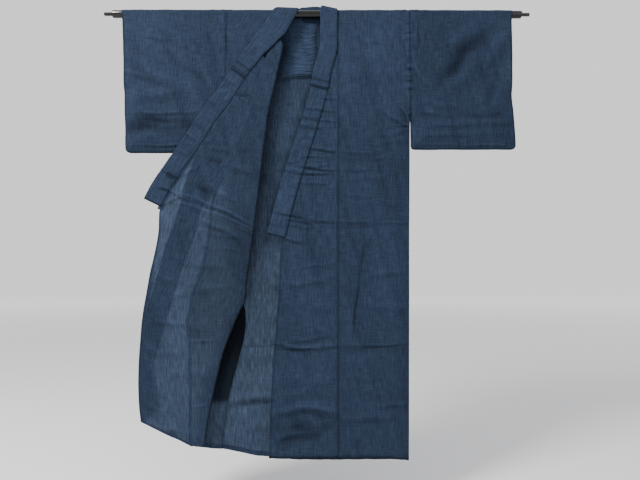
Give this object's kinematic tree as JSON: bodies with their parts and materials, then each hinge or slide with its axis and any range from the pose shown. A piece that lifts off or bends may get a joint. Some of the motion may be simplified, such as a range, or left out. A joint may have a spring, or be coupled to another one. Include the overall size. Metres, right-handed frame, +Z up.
{
  "type": "kimono on a hanging rod",
  "caption": "Unlined summer kimono hung through both sleeves on a round rod, with its left front hanging flat and its right front folded back.",
  "frame": {"origin": "middle of the rod's axis, where the rod is held", "axes": "+X to the wearer's left along the rod, +Y to the wearer's back, +Z up"},
  "size_m": [1.436, 0.0754, 1.4987],
  "materials": {
    "cloth": "matt, sheer crepe weave",
    "lacquer": "gloss black lacquer"
  },
  "bodies": {
    "root": {"rod": "lacquer", "body_left_back": "cloth", "body_left_front": "cloth", "body_right_back": "cloth", "body_right_front": "cloth", "okumi_left": "cloth", "okumi_right": "cloth", "sleeve_left": "cloth", "sleeve_right": "cloth", "collar": "cloth", "over_collar": "cloth", "shoulder_patch": "cloth"}
  },
  "joints": []
}
